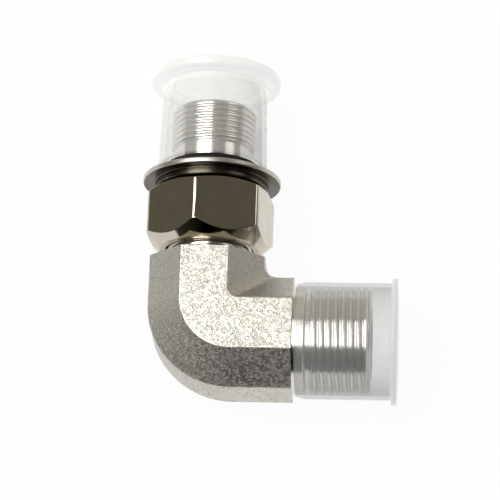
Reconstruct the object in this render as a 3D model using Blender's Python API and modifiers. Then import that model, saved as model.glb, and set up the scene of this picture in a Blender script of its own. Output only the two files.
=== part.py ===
"""A 90 degree hydraulic elbow adapter, lying on its side as it comes to rest.

The stud leg points along +Y and is an adjustable stud end: a lock nut, a retaining washer and
an O-ring on a G3/4 stud. The side leg points along +X and is a G1 male end with a 60 degree
cone seat. A soft plastic cap is pushed over each threaded end. All sizes are in metres.
"""

import math

import bmesh
import bpy
from mathutils import Matrix, Vector

# Room that is left between two pieces that touch on the real fitting
CLEARANCE = 0.0003

# Forged elbow: an octagonal section, swept round the outside of the bend
ACROSS_FLATS = 0.0360
STUD_FLAT_WIDTH = 0.0150
SIDE_FLAT_WIDTH = 0.0163
EDGE_FLAT_HEIGHT = 0.0153
BEND_CENTRE = 0.0086
INNER_CORNER_RADIUS = 0.0042
CREASE_RADIUS = 0.0034
STUD_FORGING_LENGTH = 0.0247
SIDE_FORGING_LENGTH = 0.0273

# Turned stud
STUD_DIAMETER = 0.02644
STUD_BORE = 0.0164
STUD_THREAD_LENGTH = 0.0136
STUD_CHAMFER = 0.0010
NECK_GROOVE_WIDTH = 0.0012
NECK_GROOVE_DEPTH = 0.0007
UNDERCUT_DIAMETER = 0.0244
UNDERCUT_LENGTH = 0.0110
BORE_CHAMFER = 0.0006

# Lock nut
NUT_ACROSS_FLATS = 0.0360
NUT_HEIGHT = 0.0199
NUT_GAP = 0.0035
NUT_TURN = math.radians(19.4)
NUT_TOP_FACE = 0.0346
NUT_TOP_SLOPE = math.radians(30)
NUT_FOOT_FACE = 0.0316
NUT_FOOT_SLOPE = math.radians(45)
NUT_COUNTERSINK = 0.0008

# Retaining washer: a rim with a shallow recess for the O-ring, and a hub that the nut pushes
WASHER_RIM_DIAMETER = 0.0434
WASHER_RIM_THICKNESS = 0.0016
WASHER_RIM_ROUND = 0.0004
WASHER_RECESS_DEPTH = 0.0004
WASHER_HUB_DIAMETER = 0.0360
WASHER_HUB_HEIGHT = 0.0024
WASHER_HUB_CHAMFER = 0.0005

# O-ring
O_RING_THICKNESS = 0.0034
O_RING_RISE = 0.0007

# Turned side leg
SIDE_DIAMETER = 0.03325
SIDE_BORE = 0.0200
SIDE_NECK_LENGTH = 0.0038
SIDE_RELIEF_DIAMETER = 0.0302
SIDE_RELIEF_WIDTH = 0.0016
SIDE_THREAD_LENGTH = 0.0175
SIDE_CHAMFER = 0.0012
SEAT_MOUTH = 0.0256
SEAT_HALF_ANGLE = math.radians(30)
DRILL_HALF_ANGLE = math.radians(59)

# Cap on the stud: its mouth sits on the shoulder of the O-ring
STUD_CAP_WALL = 0.0016
STUD_CAP_SEAT_ANGLE = math.radians(48)
STUD_CAP_TAPER = math.radians(1.9)
STUD_CAP_HEADROOM = 0.0099
STUD_CAP_END_THICKNESS = 0.0022
STUD_CAP_FLANGE_DIAMETER = 0.0421
STUD_CAP_FLANGE_THICKNESS = 0.0039
STUD_CAP_FLANGE_ROUND = 0.0014
STUD_CAP_CORNER = 0.0010

# Cap on the side leg: its bore fits the thread, and its mouth thins to a lip over the neck
SIDE_CAP_WALL = 0.0012
SIDE_CAP_NECK_SHOWN = 0.0008
SIDE_CAP_LIP_THICKNESS = 0.0005
SIDE_CAP_LIP_LENGTH = 0.0030
SIDE_CAP_HEADROOM = 0.0063
SIDE_CAP_END_THICKNESS = 0.0017
SIDE_CAP_FLANGE_DIAMETER = 0.0395
SIDE_CAP_FLANGE_ROUND = 0.0005
SIDE_CAP_CORNER = 0.0008

# How finely the round shapes are divided
TURNED_STEPS = 64
BORE_STEPS = 48
BEND_STEPS = 20
CORNER_STEPS = 5
ROUND_STEPS = 4
TUBE_STEPS = 16
MERGE = 0.00001
SMOOTH_ANGLE = math.radians(30)

# Stations along the stud leg, from the crossing of the two axes
NUT_FOOT = STUD_FORGING_LENGTH + NUT_GAP
NUT_TOP = NUT_FOOT + NUT_HEIGHT
WASHER_FOOT = NUT_TOP + CLEARANCE
RIM_FOOT = WASHER_FOOT + WASHER_HUB_HEIGHT
RIM_TOP = RIM_FOOT + WASHER_RIM_THICKNESS
O_RING_STATION = RIM_TOP + O_RING_RISE + O_RING_THICKNESS / 2
UNDERCUT_END = RIM_FOOT + UNDERCUT_LENGTH
STUD_END = UNDERCUT_END + STUD_THREAD_LENGTH
STUD_CAP_CEILING = STUD_END + STUD_CAP_HEADROOM
STUD_CAP_END = STUD_CAP_CEILING + STUD_CAP_END_THICKNESS

# Stations along the side leg
SIDE_NECK_END = SIDE_FORGING_LENGTH + SIDE_NECK_LENGTH
SIDE_THREAD_START = SIDE_NECK_END + SIDE_RELIEF_WIDTH
SIDE_END = SIDE_THREAD_START + SIDE_THREAD_LENGTH + SIDE_CHAMFER
SIDE_CAP_MOUTH = SIDE_FORGING_LENGTH + SIDE_CAP_NECK_SHOWN
SIDE_CAP_CEILING = SIDE_END + SIDE_CAP_HEADROOM
SIDE_CAP_END = SIDE_CAP_CEILING + SIDE_CAP_END_THICKNESS

# The O-ring's circle, and the mouth of the stud's cap on its shoulder
O_RING_CIRCLE = UNDERCUT_DIAMETER / 2 + CLEARANCE + O_RING_THICKNESS / 2
SHOULDER_REACH = O_RING_THICKNESS / 2 + CLEARANCE
STUD_CAP_MOUTH = O_RING_STATION + SHOULDER_REACH * math.sin(STUD_CAP_SEAT_ANGLE)
STUD_CAP_MOUTH_RADIUS = O_RING_CIRCLE + SHOULDER_REACH * math.cos(STUD_CAP_SEAT_ANGLE)

# The origin is the middle of the footprint, on the plane that the widest ring touches
NUT_CORNER_RADIUS = NUT_ACROSS_FLATS / 2 / math.cos(math.radians(30))
WIDEST_ON_STUD = max(WASHER_RIM_DIAMETER / 2, STUD_CAP_FLANGE_DIAMETER / 2, ACROSS_FLATS / 2)
WIDEST_ON_SIDE = max(SIDE_CAP_FLANGE_DIAMETER / 2, ACROSS_FLATS / 2)
AXES_CROSSING = Vector((
    (WIDEST_ON_STUD - SIDE_CAP_END) / 2,
    (WIDEST_ON_SIDE - STUD_CAP_END) / 2,
    max(WIDEST_ON_STUD, WIDEST_ON_SIDE),
))

# Turning an object this way points its own Z along a leg
ALONG_STUD = (-math.pi / 2, 0, 0)
ALONG_SIDE = (0, math.pi / 2, 0)


def clear_scene():
    """Removes what the startup file holds."""
    for item in list(bpy.data.objects):
        bpy.data.objects.remove(item, do_unlink=True)


def new_collection(name):
    collection = bpy.data.collections.new(name)
    bpy.context.scene.collection.children.link(collection)
    return collection


def make_material(name, colour, roughness, metallic, alpha=1.0):
    """A Principled material; colour is linear red, green and blue."""
    made = bpy.data.materials.new(name)
    made.use_nodes = True
    shader = made.node_tree.nodes["Principled BSDF"]
    shader.inputs["Base Color"].default_value = (*colour, 1.0)
    shader.inputs["Roughness"].default_value = roughness
    shader.inputs["Metallic"].default_value = metallic
    shader.inputs["Alpha"].default_value = alpha
    made.diffuse_color = (*colour, alpha)
    return made


def place(item, collection, parent, station=0.0, direction=ALONG_STUD):
    """Puts an object on a leg's axis, with its own Z along that leg."""
    collection.objects.link(item)
    item.parent = parent
    item.rotation_euler = direction
    item.location = (0, station, 0) if direction == ALONG_STUD else (station, 0, 0)
    return item


def turned(name, profile, steps=TURNED_STEPS):
    """A turned shape: (radius, height) points, outer side downwards, turned about the object's Z."""
    closed = profile[0][0] > 0
    bm = bmesh.new()
    points = [bm.verts.new((radius, 0, height)) for radius, height in profile]
    for first, second in zip(points, points[1:]):
        bm.edges.new((first, second))
    if closed:
        bm.edges.new((points[-1], points[0]))
    mesh = bpy.data.meshes.new(name)
    bm.to_mesh(mesh)
    bm.free()
    item = bpy.data.objects.new(name, mesh)
    screw = item.modifiers.new("turning", "SCREW")
    screw.steps = steps
    screw.render_steps = steps
    screw.use_merge_vertices = True
    screw.merge_threshold = MERGE
    screw.use_smooth_shade = True
    return item


def combine(item, other, operation):
    """Adds a Boolean with another object, which stays in its own place."""
    boolean = item.modifiers.new(f"{operation.lower()} {other.name}", "BOOLEAN")
    boolean.operation = operation
    boolean.solver = "EXACT"
    boolean.object = other


def quarter_round(centre, radius, start, steps=ROUND_STEPS):
    """Points of a quarter circle in a profile, turning clockwise from the angle start in degrees."""
    angles = [math.radians(start - 90 * k / steps) for k in range(steps + 1)]
    return [
        (centre[0] + radius * math.cos(angle), centre[1] + radius * math.sin(angle))
        for angle in angles
    ]


def elbow_outline(stud_width, side_width, corner_radius):
    """The L seen from above: straight legs, a round outside of the bend and a filleted inner corner."""
    stud_half, side_half = stud_width / 2, side_width / 2
    points = [Vector((-stud_half, STUD_FORGING_LENGTH))]
    for k in range(BEND_STEPS + 1):
        angle = math.pi / 2 * k / BEND_STEPS
        points.append(Vector((
            BEND_CENTRE - (BEND_CENTRE + stud_half) * math.cos(angle),
            BEND_CENTRE - (BEND_CENTRE + side_half) * math.sin(angle),
        )))
    points.append(Vector((SIDE_FORGING_LENGTH, -side_half)))
    points.append(Vector((SIDE_FORGING_LENGTH, side_half)))
    for k in range(CORNER_STEPS + 1):
        angle = math.pi / 2 * k / CORNER_STEPS
        points.append(Vector((
            stud_half + corner_radius * (1 - math.sin(angle)),
            side_half + corner_radius * (1 - math.cos(angle)),
        )))
    points.append(Vector((stud_half, STUD_FORGING_LENGTH)))
    return points


def forged_elbow(name):
    """The forging: the narrow outline of its flats is lofted to the wide outline of its sides."""
    flat = elbow_outline(STUD_FLAT_WIDTH, SIDE_FLAT_WIDTH, CREASE_RADIUS)
    side = elbow_outline(ACROSS_FLATS, ACROSS_FLATS, INNER_CORNER_RADIUS)
    levels = (
        (flat, -ACROSS_FLATS / 2),
        (side, -EDGE_FLAT_HEIGHT / 2),
        (side, EDGE_FLAT_HEIGHT / 2),
        (flat, ACROSS_FLATS / 2),
    )
    bm = bmesh.new()
    rings = [[bm.verts.new((*point, height)) for point in outline] for outline, height in levels]
    for lower, upper in zip(rings, rings[1:]):
        for k in range(len(lower)):
            following = (k + 1) % len(lower)
            bm.faces.new((lower[k], lower[following], upper[following], upper[k]))
    bm.faces.new(list(reversed(rings[0])))
    bm.faces.new(rings[-1])
    mesh = bpy.data.meshes.new(name)
    bm.to_mesh(mesh)
    bm.free()
    return bpy.data.objects.new(name, mesh)


def stud_profile():
    """The turned stud, from its end down to its root inside the forging."""
    radius = STUD_DIAMETER / 2
    waist = UNDERCUT_DIAMETER / 2
    groove = STUD_FORGING_LENGTH + NECK_GROOVE_WIDTH
    runout = radius - waist
    return [
        (0, STUD_END),
        (radius - STUD_CHAMFER, STUD_END),
        (radius, STUD_END - STUD_CHAMFER),
        (radius, UNDERCUT_END + runout / 2),
        (waist, UNDERCUT_END),
        (waist, RIM_FOOT),
        (radius, RIM_FOOT - runout),
        (radius, groove + NECK_GROOVE_DEPTH),
        (radius - NECK_GROOVE_DEPTH, groove),
        (radius - NECK_GROOVE_DEPTH, STUD_FORGING_LENGTH / 2),
        (0, STUD_FORGING_LENGTH / 2),
    ]


def side_profile():
    """The turned side leg, from its end down to its root inside the forging."""
    radius = SIDE_DIAMETER / 2
    relief = SIDE_RELIEF_DIAMETER / 2
    return [
        (0, SIDE_END),
        (radius - SIDE_CHAMFER, SIDE_END),
        (radius, SIDE_END - SIDE_CHAMFER),
        (radius, SIDE_THREAD_START),
        (relief, SIDE_THREAD_START),
        (relief, SIDE_NECK_END),
        (radius, SIDE_NECK_END),
        (radius, SIDE_FORGING_LENGTH / 2),
        (0, SIDE_FORGING_LENGTH / 2),
    ]


def stud_bore_profile():
    """The drill through the stud leg, which runs past the stud's end and stops in the side bore."""
    radius = STUD_BORE / 2
    past = STUD_END + STUD_CHAMFER
    return [
        (0, past),
        (radius + BORE_CHAMFER + STUD_CHAMFER, past),
        (radius, STUD_END - BORE_CHAMFER),
        (radius, 0),
        (0, 0),
    ]


def side_bore_profile():
    """The drill through the side leg, with the cone seat at its mouth and the drill's point."""
    radius = SIDE_BORE / 2
    slope = math.tan(SEAT_HALF_ANGLE)
    past = SIDE_CHAMFER
    mouth = SEAT_MOUTH / 2
    far_wall = -STUD_BORE / 2
    return [
        (0, SIDE_END + past),
        (mouth + past * slope, SIDE_END + past),
        (radius, SIDE_END - (mouth - radius) / slope),
        (radius, far_wall),
        (0, far_wall - radius / math.tan(DRILL_HALF_ANGLE)),
    ]


def nut_blank_profile():
    """The turned shape that chamfers both ends of the hexagon."""
    wide = NUT_CORNER_RADIUS + CLEARANCE
    top, foot = NUT_TOP_FACE / 2, NUT_FOOT_FACE / 2
    return [
        (0, NUT_HEIGHT),
        (top, NUT_HEIGHT),
        (wide, NUT_HEIGHT - (wide - top) * math.tan(NUT_TOP_SLOPE)),
        (wide, (wide - foot) * math.tan(NUT_FOOT_SLOPE)),
        (foot, 0),
        (0, 0),
    ]


def nut_bore_profile():
    """The nut's bore, with a countersink at each end."""
    radius = STUD_DIAMETER / 2 + CLEARANCE
    past = NUT_COUNTERSINK
    wide = radius + NUT_COUNTERSINK + past
    return [
        (0, NUT_HEIGHT + past),
        (wide, NUT_HEIGHT + past),
        (radius, NUT_HEIGHT - NUT_COUNTERSINK),
        (radius, NUT_COUNTERSINK),
        (wide, -past),
        (0, -past),
    ]


def washer_profile():
    """A ring: its rim above, recessed for the O-ring, its hub below and its bore over the stud."""
    bore = STUD_DIAMETER / 2 + CLEARANCE
    recess = O_RING_CIRCLE + O_RING_THICKNESS / 2 + CLEARANCE
    rim, hub = WASHER_RIM_DIAMETER / 2, WASHER_HUB_DIAMETER / 2
    top = WASHER_HUB_HEIGHT + WASHER_RIM_THICKNESS
    soft = WASHER_RIM_ROUND
    return [
        (bore, top - WASHER_RECESS_DEPTH),
        (recess, top - WASHER_RECESS_DEPTH),
        (recess, top),
        *quarter_round((rim - soft, top - soft), soft, 90),
        *quarter_round((rim - soft, WASHER_HUB_HEIGHT + soft), soft, 0),
        (hub, WASHER_HUB_HEIGHT),
        (hub, WASHER_HUB_CHAMFER),
        (hub - WASHER_HUB_CHAMFER, 0),
        (bore, 0),
    ]


def o_ring_profile():
    """The round section of the O-ring."""
    radius = O_RING_THICKNESS / 2
    angles = [-2 * math.pi * k / TUBE_STEPS for k in range(TUBE_STEPS)]
    return [
        (O_RING_CIRCLE + radius * math.cos(angle), radius * math.sin(angle)) for angle in angles
    ]


def stud_cap_profile():
    """The cap on the stud: a thick rounded flange on a tapered skirt that is open below."""
    taper = math.tan(STUD_CAP_TAPER)
    end = STUD_CAP_END - STUD_CAP_MOUTH
    ceiling = STUD_CAP_CEILING - STUD_CAP_MOUTH
    flange = STUD_CAP_FLANGE_DIAMETER / 2
    flange_foot = end - STUD_CAP_FLANGE_THICKNESS
    inside = STUD_CAP_MOUTH_RADIUS
    outside = inside + STUD_CAP_WALL
    soft = STUD_CAP_FLANGE_ROUND
    corner = STUD_CAP_CORNER
    return [
        (0, end),
        *quarter_round((flange - soft, end - soft), soft, 90),
        *quarter_round((flange - soft, flange_foot + soft), soft, 0),
        (outside - flange_foot * taper, flange_foot),
        (outside, 0),
        (inside, 0),
        (inside - (ceiling - corner) * taper, ceiling - corner),
        (inside - ceiling * taper - corner, ceiling),
        (0, ceiling),
    ]


def side_cap_profile():
    """The cap on the side leg: a thin flange on a straight skirt that thins towards its mouth."""
    end = SIDE_CAP_END - SIDE_CAP_MOUTH
    ceiling = SIDE_CAP_CEILING - SIDE_CAP_MOUTH
    flange = SIDE_CAP_FLANGE_DIAMETER / 2
    inside = SIDE_DIAMETER / 2 + CLEARANCE
    outside = inside + SIDE_CAP_WALL
    soft = SIDE_CAP_FLANGE_ROUND
    corner = SIDE_CAP_CORNER
    return [
        (0, end),
        *quarter_round((flange - soft, end - soft), soft, 90),
        *quarter_round((flange - soft, ceiling + soft), soft, 0),
        (outside, ceiling),
        (outside, SIDE_CAP_LIP_LENGTH),
        (inside + SIDE_CAP_LIP_THICKNESS, 0),
        (inside, 0),
        (inside, ceiling - corner),
        (inside - corner, ceiling),
        (0, ceiling),
    ]


def hexagon(name):
    """The hexagonal bar of the nut, standing on its foot."""
    bm = bmesh.new()
    bmesh.ops.create_cone(
        bm,
        cap_ends=True,
        segments=6,
        radius1=NUT_CORNER_RADIUS,
        radius2=NUT_CORNER_RADIUS,
        depth=NUT_HEIGHT,
    )
    bmesh.ops.translate(bm, verts=bm.verts, vec=(0, 0, NUT_HEIGHT / 2))
    flat_forward = Matrix.Rotation(math.radians(30), 3, "Z")
    bmesh.ops.rotate(bm, verts=bm.verts, matrix=flat_forward)
    mesh = bpy.data.meshes.new(name)
    bm.to_mesh(mesh)
    bm.free()
    return bpy.data.objects.new(name, mesh)


def settle(item, material):
    """Turns an object's modifiers into its mesh, shades it and gives it its material."""
    bpy.context.view_layer.update()
    evaluated = item.evaluated_get(bpy.context.evaluated_depsgraph_get())
    mesh = bpy.data.meshes.new_from_object(evaluated)
    item.modifiers.clear()
    item.data = mesh
    mesh.name = item.name
    mesh.shade_smooth()
    mesh.set_sharp_from_angle(angle=SMOOTH_ANGLE)
    mesh.materials.clear()
    mesh.materials.append(material)


def build_elbow(parts, cutters, crossing, steel):
    """The one-piece elbow: forging, turned stud and side leg, and the bores that meet inside."""
    body = forged_elbow("elbow_body")
    parts.objects.link(body)
    body.parent = crossing
    tools = (
        (turned("add_stud", stud_profile()), ALONG_STUD, "UNION"),
        (turned("add_side_leg", side_profile()), ALONG_SIDE, "UNION"),
        (turned("cut_side_bore", side_bore_profile(), BORE_STEPS), ALONG_SIDE, "DIFFERENCE"),
        (turned("cut_stud_bore", stud_bore_profile(), BORE_STEPS), ALONG_STUD, "DIFFERENCE"),
    )
    for tool, direction, operation in tools:
        place(tool, cutters, crossing, direction=direction)
        combine(body, tool, operation)
    settle(body, steel)


def build_lock_nut(parts, cutters, crossing, plating):
    """The hexagon, chamfered at both ends and bored to run on the stud."""
    nut = place(hexagon("lock_nut"), parts, crossing, NUT_FOOT)
    nut.rotation_euler = (-math.pi / 2, NUT_TURN, 0)
    blank = place(turned("keep_nut_blank", nut_blank_profile()), cutters, crossing, NUT_FOOT)
    bore = place(turned("cut_nut_bore", nut_bore_profile(), BORE_STEPS), cutters, crossing, NUT_FOOT)
    combine(nut, blank, "INTERSECT")
    combine(nut, bore, "DIFFERENCE")
    settle(nut, plating)


def build_turned(name, profile, parts, crossing, material, station, direction=ALONG_STUD):
    """A piece that is turned or moulded in one, set at its station on a leg."""
    piece = place(turned(name, profile), parts, crossing, station, direction)
    settle(piece, material)


def hide_cutters(cutters):
    for tool in cutters.objects:
        tool.hide_render = True
        tool.display_type = "WIRE"


def main():
    clear_scene()
    parts = new_collection("hydraulic_elbow_adapter")
    cutters = new_collection("cutters")
    crossing = bpy.data.objects.new("axes_crossing", None)
    crossing.location = AXES_CROSSING
    parts.objects.link(crossing)

    forged_steel = make_material("forged_steel", (0.46, 0.44, 0.40), 0.55, 0.85)
    bright_plating = make_material("bright_plating", (0.50, 0.47, 0.41), 0.16, 1.0)
    black_rubber = make_material("black_rubber", (0.012, 0.012, 0.012), 0.45, 0.0)
    milky_plastic = make_material("milky_plastic", (0.86, 0.87, 0.84), 0.35, 0.0, 0.75)
    clear_plastic = make_material("clear_plastic", (0.80, 0.81, 0.79), 0.30, 0.0, 0.45)

    build_elbow(parts, cutters, crossing, forged_steel)
    build_lock_nut(parts, cutters, crossing, bright_plating)
    build_turned("retaining_washer", washer_profile(), parts, crossing, bright_plating, WASHER_FOOT)
    build_turned("o_ring", o_ring_profile(), parts, crossing, black_rubber, O_RING_STATION)
    build_turned("stud_cap", stud_cap_profile(), parts, crossing, milky_plastic, STUD_CAP_MOUTH)
    build_turned(
        "side_cap", side_cap_profile(), parts, crossing, clear_plastic, SIDE_CAP_MOUTH, ALONG_SIDE
    )
    hide_cutters(cutters)


main()
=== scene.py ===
"""The looks of a right-angled hydraulic adapter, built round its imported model.

Every sub-assembly is a class that holds its own sizes, in metres, and is placed from the frame.
"""

import logging
import math
from dataclasses import dataclass, field
from enum import Enum
from typing import Iterable, Sequence

import bmesh
import bpy
from mathutils import Matrix, Vector


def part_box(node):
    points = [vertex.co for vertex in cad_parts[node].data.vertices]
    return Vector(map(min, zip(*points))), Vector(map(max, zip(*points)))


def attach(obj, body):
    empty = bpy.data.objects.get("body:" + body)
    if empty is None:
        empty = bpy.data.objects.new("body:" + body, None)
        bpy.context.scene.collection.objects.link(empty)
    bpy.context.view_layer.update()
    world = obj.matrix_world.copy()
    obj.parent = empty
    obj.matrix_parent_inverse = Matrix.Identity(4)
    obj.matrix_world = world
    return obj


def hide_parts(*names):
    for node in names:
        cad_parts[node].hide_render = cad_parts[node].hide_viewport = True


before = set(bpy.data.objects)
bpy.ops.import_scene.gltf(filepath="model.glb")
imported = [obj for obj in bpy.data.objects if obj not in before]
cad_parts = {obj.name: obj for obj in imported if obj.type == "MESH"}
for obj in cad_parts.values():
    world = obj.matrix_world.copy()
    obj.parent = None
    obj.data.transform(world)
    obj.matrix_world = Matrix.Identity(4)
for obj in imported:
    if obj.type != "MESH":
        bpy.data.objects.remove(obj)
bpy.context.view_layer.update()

Point = tuple[float, float]
Colour = tuple[float, float, float]
Corner = tuple[float, float, float]

MERGE = 1e-6                       # vertices closer than this are one
WELD = 10 * MERGE                  # the same, where a helix's turns meet
ON_AXIS = 1e-7                     # a section that starts within this radius is open at the axis
SMOOTH_ANGLE = math.radians(32)    # edges sharper than this stay sharp
TURN_STEPS = 144                   # steps in a full turn
FILLET_REACH = 0.48                # the share of a side that one fillet may take up
HALF_FLAT = math.radians(30)       # half the angle of one flat of a hexagon
CLOUD_DETAIL = 3.0                 # how much finer detail a cloudy noise has
BLACK: Colour = (0.0, 0.0, 0.0)
WHITE: Colour = (1.0, 1.0, 1.0)
log = logging.getLogger("adapter")


class Leg(Enum):
    """The two legs of the elbow, by the direction in which each one points."""

    STUD = "Y"
    SIDE = "X"


class Joining(Enum):
    """How one solid meets another."""

    ADD = "UNION"
    CUT = "DIFFERENCE"
    KEEP = "INTERSECT"


class Socket:
    """A node socket that takes part in Python arithmetic; each operation adds a Math node."""

    def __init__(self, tree: bpy.types.NodeTree, link: bpy.types.NodeSocket) -> None:
        """Wraps an output socket of a node tree."""
        self.tree = tree
        self.link = link

    def _math(self, operation: str, *values: object, clamp: bool = False) -> "Socket":
        """Adds a Math node.

        Args:
            operation: the node's operation.
            values: sockets or numbers, in the order of the node's inputs.
            clamp: whether the result stays between 0 and 1.

        Returns:
            The node's result.
        """
        node = self.tree.nodes.new("ShaderNodeMath")
        node.operation = operation
        node.use_clamp = clamp
        for socket, value in zip(node.inputs, values):
            if isinstance(value, Socket):
                self.tree.links.new(value.link, socket)
            else:
                socket.default_value = value
        return Socket(self.tree, node.outputs[0])

    def __add__(self, other: object) -> "Socket":
        """Self plus other."""
        return self._math("ADD", self, other)

    def __radd__(self, other: object) -> "Socket":
        """Other plus self."""
        return self._math("ADD", other, self)

    def __sub__(self, other: object) -> "Socket":
        """Self minus other."""
        return self._math("SUBTRACT", self, other)

    def __rsub__(self, other: object) -> "Socket":
        """Other minus self."""
        return self._math("SUBTRACT", other, self)

    def __mul__(self, other: object) -> "Socket":
        """Self times other."""
        return self._math("MULTIPLY", self, other)

    def __rmul__(self, other: object) -> "Socket":
        """Other times self."""
        return self._math("MULTIPLY", other, self)

    def __abs__(self) -> "Socket":
        """The size of self without its sign."""
        return self._math("ABSOLUTE", self)

    def above(self, edge: float, width: float) -> "Socket":
        """A soft step that is 0 under the edge and 1 at edge plus width."""
        return self._math("MULTIPLY", self - edge, 1.0 / width, clamp=True)

    def sine(self) -> "Socket":
        """The sine of self, in radians."""
        return self._math("SINE", self)


class Nodes:
    """A node tree, and the one way in which nodes are added to it."""

    def __init__(self, tree: bpy.types.NodeTree) -> None:
        """Takes a tree."""
        self.tree = tree

    def feed(self, socket: bpy.types.NodeSocket, value: object) -> None:
        """Links a socket to an input, or sets the input's own value.

        Args:
            socket: the input.
            value: a socket to link, or a plain value.
        """
        if isinstance(value, Socket):
            self.tree.links.new(value.link, socket)
        else:
            socket.default_value = value

    def node(
        self, kind: str, settings: dict[str, object], sockets: dict[str | int, object], output: str | int = 0
    ) -> Socket:
        """Adds any node.

        Args:
            kind: the node's type name.
            settings: the node's own settings, which are set first.
            sockets: values or links for its inputs, by name or number.
            output: the name or number of the output to return.

        Returns:
            The output asked for.
        """
        node = self.tree.nodes.new(kind)
        for name, value in settings.items():
            setattr(node, name, value)
        for key, value in sockets.items():
            self.feed(node.inputs[key], value)
        return Socket(self.tree, node.outputs[output])

    def split(self, vector: Socket, axis: str) -> Socket:
        """One coordinate of a vector."""
        return self.node("ShaderNodeSeparateXYZ", {}, {"Vector": vector}, axis)

    def seen(self, *kinds: str) -> Socket:
        """1 for rays of these kinds, by the names of Light Path's outputs."""
        rays = [self.node("ShaderNodeLightPath", {}, {}, kind) for kind in kinds]
        return sum(rays[1:], rays[0])

    def blend(self, factor: Socket, first: Socket, second: Socket) -> Socket:
        """A mix of two shaders, the first one at factor 0."""
        return self.node("ShaderNodeMixShader", {}, {0: factor, 1: first, 2: second})


class Surface(Nodes):
    """One material with a Principled shader, and the nodes that feed it."""

    def __init__(self, name: str) -> None:
        """Starts a plain material.

        Args:
            name: the material's name.
        """
        self.material = bpy.data.materials.new(name)
        self.material.use_nodes = True
        super().__init__(self.material.node_tree)
        self.shader = self.tree.nodes["Principled BSDF"]
        self.place = self.node("ShaderNodeTexCoord", {}, {}, "Object")

    def set(self, **values: object) -> None:
        """Feeds the shader's inputs, by name with _ for a space."""
        for name, value in values.items():
            self.feed(self.shader.inputs[name.replace("_", " ")], value)

    def noise(
        self, size: float, detail: float = 2.0, place: Socket | None = None, twist: float = 0.0
    ) -> Socket:
        """A noise between 0 and 1.

        Args:
            size: about how large its features are, in metres.
            detail: how much finer detail it has.
            place: the coordinates that it reads, if not the piece's own.
            twist: how much it is distorted.

        Returns:
            The noise.
        """
        sockets = {
            "Vector": place or self.place, "Scale": 1.0 / size, "Detail": detail, "Distortion": twist
        }
        return self.node("ShaderNodeTexNoise", {"noise_dimensions": "3D"}, sockets, "Fac")

    def mix(self, factor: Socket, first: Colour, second: Colour) -> Socket:
        """A colour between two others, the first one at factor 0."""
        sockets = {"Factor": factor, 6: (*first, 1.0), 7: (*second, 1.0)}
        return self.node("ShaderNodeMix", {"data_type": "RGBA"}, sockets, 2)

    def along(self, leg: Leg) -> Socket:
        """The coordinate along a leg."""
        return self.split(self.place, leg.value)

    def mapped(self, scale: Sequence[float], move: Sequence[float] = (0.0, 0.0, 0.0)) -> Socket:
        """The piece's coordinates, scaled along each axis and then moved."""
        sockets = {"Vector": self.place, "Location": move, "Scale": scale}
        return self.node("ShaderNodeMapping", {"vector_type": "POINT"}, sockets, "Vector")

    def from_axis(self, leg: Leg, crossing: Vector) -> Socket:
        """The distance from a leg's axis.

        Args:
            leg: the leg.
            crossing: a point that its axis runs through.

        Returns:
            The distance in metres.
        """
        across = Vector((leg is not Leg.SIDE, leg is not Leg.STUD, 1.0))
        centred = self.mapped(across, -across * crossing)
        return self.node("ShaderNodeVectorMath", {"operation": "LENGTH"}, {0: centred}, "Value")

    def bump(self, height: Socket, distance: float) -> None:
        """Tilts the surface by a height, which is in units of a distance in metres."""
        sockets = {"Height": height, "Distance": distance, "Strength": 1.0}
        self.set(Normal=self.node("ShaderNodeBump", {}, sockets, "Normal"))


@dataclass(frozen=True)
class ForgedFinish:
    """Plated forged steel: pale and matte, with fine dark worm-like pits."""

    pale: Colour = (0.595, 0.568, 0.520)
    pit: Colour = (0.30, 0.28, 0.25)
    pit_stain: float = 0.55
    cloud_stain: float = 0.3
    roughness: float = 0.33
    pit_roughness: float = 0.2
    cloud_roughness: float = 0.1
    worm_size: float = 0.00062
    worm_width: float = 0.07
    worm_core: float = 0.3
    worm_twist: float = 0.6
    worm_detail: float = 1.5
    gap_size: float = 1.7
    gap_edge: float = 0.40
    gap_width: float = 0.15
    gap_detail: float = 1.0
    grain_size: float = 0.8
    undulation: float = 0.0035
    cloud_spread: float = 3.0
    grain_height: float = 0.7
    swell_height: float = 0.3
    pit_depth: float = 0.25
    relief: float = 0.00010

    def material(self) -> bpy.types.Material:
        """Builds the material.

        Returns:
            The material.
        """
        surface = Surface("forged_steel_finish")
        worm = surface.noise(self.worm_size, self.worm_detail, twist=self.worm_twist)
        line = 1.0 - abs(worm - 0.5).above(self.worm_width * self.worm_core, self.worm_width)
        gaps = surface.noise(self.worm_size * self.gap_size, self.gap_detail)
        broken = gaps.above(self.gap_edge, self.gap_width)
        pits = line * broken
        cloud = surface.noise(self.undulation * self.cloud_spread, CLOUD_DETAIL)
        stain = pits * self.pit_stain + (cloud - 0.5) * self.cloud_stain
        surface.set(
            Base_Color=surface.mix(stain, self.pale, self.pit),
            Roughness=self.roughness + pits * self.pit_roughness + (cloud - 0.5) * self.cloud_roughness,
            Metallic=1.0,
        )
        grain = surface.noise(self.worm_size * self.grain_size)
        swell = surface.noise(self.undulation)
        height = grain * self.grain_height + swell * self.swell_height - pits * self.pit_depth
        surface.bump(height, self.relief)
        return surface.material


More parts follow.
